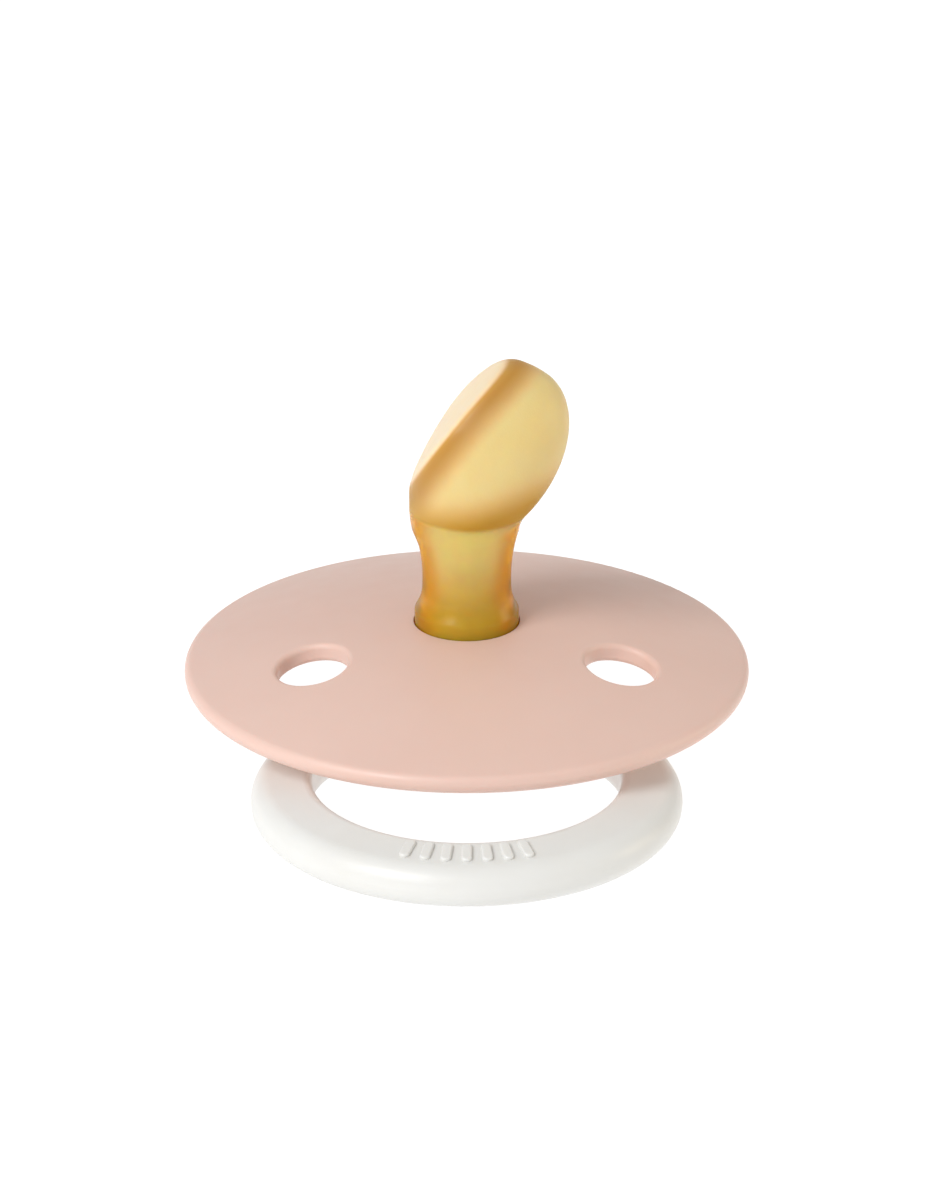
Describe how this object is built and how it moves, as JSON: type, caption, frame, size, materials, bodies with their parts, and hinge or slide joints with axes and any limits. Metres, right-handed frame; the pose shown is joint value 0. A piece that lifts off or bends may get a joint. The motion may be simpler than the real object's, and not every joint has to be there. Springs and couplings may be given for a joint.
{
  "type": "pacifier",
  "caption": "Baby pacifier with a round domed shield, a leaning latex teat on a waisted neck and a hinged ring handle.",
  "frame": {"origin": "centre of the knob's flat outer face, on the shield's axis", "axes": "+Z from the knob through the shield towards the teat's tip; the ring handle is folded flat towards -Y; the teat leans towards +X"},
  "size_m": [0.045, 0.0537, 0.0321],
  "materials": {
    "shield_plastic": "satin moulded polypropylene, dusty blush",
    "teat_latex": "translucent amber natural latex",
    "plug_plastic": "natural moulded plastic",
    "ring_plastic": "satin moulded polypropylene, warm white"
  },
  "bodies": {
    "guard": {"shield": "shield_plastic", "teat": "teat_latex", "plug": "plug_plastic", "knob": "ring_plastic"},
    "ring": {"ring_handle": "ring_plastic"}
  },
  "joints": [
    {"name": "ring_hinge", "type": "hinge", "parent": "guard", "child": "ring", "pos_m": [0, 0, 0.00198], "axis": [1, 0, 0], "range_deg": [-4, 184]}
  ]
}
